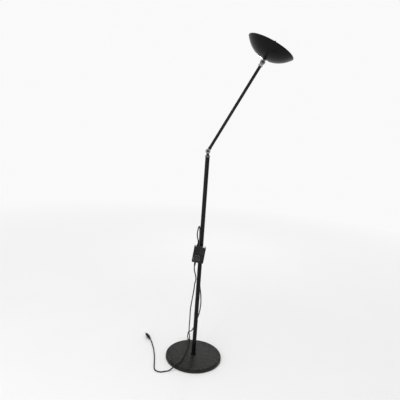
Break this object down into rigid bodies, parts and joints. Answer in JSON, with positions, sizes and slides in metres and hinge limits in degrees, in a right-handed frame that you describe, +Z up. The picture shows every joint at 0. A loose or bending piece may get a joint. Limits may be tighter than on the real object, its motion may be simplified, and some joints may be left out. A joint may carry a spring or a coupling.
{
  "type": "floor lamp",
  "caption": "Floor lamp with a heavy round base, a pole, a swivelling elbow, a leaning friction-hinged arm and a tilting bowl shade, with a dimmer box and flexes.",
  "frame": {"origin": "centre of the base's underside, on the floor under the pole", "axes": "+Z up along the pole, +X the way the arm leans, -Y the side the dimmer box faces; the hinge pins run along Y"},
  "size_m": [0.6701, 0.3647, 1.6845],
  "materials": {
    "hammered_black": "hammered semi-gloss enamel",
    "felt": "pressed felt",
    "iron": "as cast",
    "zinc_steel": "zinc plated",
    "gloss_black": "gloss enamel",
    "satin_alloy": "satin die casting",
    "bright_steel": "bright",
    "blackened_steel": "blackened",
    "fibre": "pressed fibre",
    "black_clamp": "satin enamel",
    "box_plastic": "fine grain moulding",
    "knob_plastic": "moulded",
    "board": "bare laminate",
    "winding": "enamelled copper wire",
    "polished_aluminium": "polished",
    "ceramic": "steatite",
    "quartz": "clear quartz",
    "clear_glass": "toughened clear",
    "pvc_black": "soft PVC",
    "plug_brass": "nickelled"
  },
  "bodies": {
    "stand": {"base_pad": "felt", "base_weight": "iron", "base_cover": "hammered_black", "base_stud": "zinc_steel", "base_washer": "zinc_steel", "base_locknut": "zinc_steel", "foot_collar": "gloss_black", "base_gland": "pvc_black", "base_wire": "pvc_black", "pole_plug": "bright_steel", "pole_tube": "gloss_black", "pole_collar": "satin_alloy", "pole_wire": "pvc_black", "box_front": "box_plastic", "box_back": "box_plastic", "box_screws": "zinc_steel", "dimmer_board": "board", "dimmer_choke": "winding", "dimmer_heat_sink": "polished_aluminium", "terminal_block": "knob_plastic", "dimmer_pot": "knob_plastic", "pole_clamp": "black_clamp", "clamp_screws": "zinc_steel", "box_inlet_relief": "pvc_black", "box_outlet_relief": "pvc_black", "lamp_flex": "pvc_black", "mains_lead": "pvc_black", "plug_body": "pvc_black", "plug_pins": "plug_brass"},
    "dimmer": {"dimmer_knob": "knob_plastic", "dimmer_shaft": "zinc_steel"},
    "swivel": {"elbow_lower_knuckle": "satin_alloy", "swivel_circlip": "zinc_steel"},
    "arm": {"elbow_upper_knuckle": "satin_alloy", "elbow_screw": "blackened_steel", "elbow_spring_washer": "bright_steel", "elbow_nut": "bright_steel", "elbow_friction_disc": "fibre", "arm_tube": "gloss_black", "arm_wire": "pvc_black", "head_lower_knuckle": "satin_alloy"},
    "head": {"head_upper_knuckle": "satin_alloy", "head_screw": "blackened_steel", "head_spring_washer": "bright_steel", "head_nut": "bright_steel", "head_friction_disc": "fibre", "shade": "gloss_black", "shade_washer": "zinc_steel", "shade_nut": "zinc_steel", "bracket_spacer": "zinc_steel", "lamp_bracket": "zinc_steel", "bracket_nut": "zinc_steel", "lamp_holders": "ceramic", "holder_screws": "zinc_steel", "halogen_lamp": "quartz", "lamp_caps": "ceramic", "reflector": "polished_aluminium", "glass_plate": "clear_glass", "glass_clips": "blackened_steel"}
  },
  "joints": [
    {"name": "pole_swivel", "type": "hinge", "parent": "stand", "child": "swivel", "pos_m": [0, 0, 1.102], "axis": [0, 0, 1], "range_deg": [-170, 170]},
    {"name": "elbow_hinge", "type": "hinge", "parent": "swivel", "child": "arm", "pos_m": [0, 0, 1.1225], "axis": [0, 1, 0], "range_deg": [-117, 62]},
    {"name": "head_hinge", "type": "hinge", "parent": "arm", "child": "head", "pos_m": [0.22979, 0, 1.56206], "axis": [0, 1, 0], "range_deg": [-87, 92]},
    {"name": "dimmer_turn", "type": "hinge", "parent": "stand", "child": "dimmer", "pos_m": [-0.01904, -0.043, 0.57699], "axis": [0, 1, 0], "range_deg": [0, 270]}
  ]
}
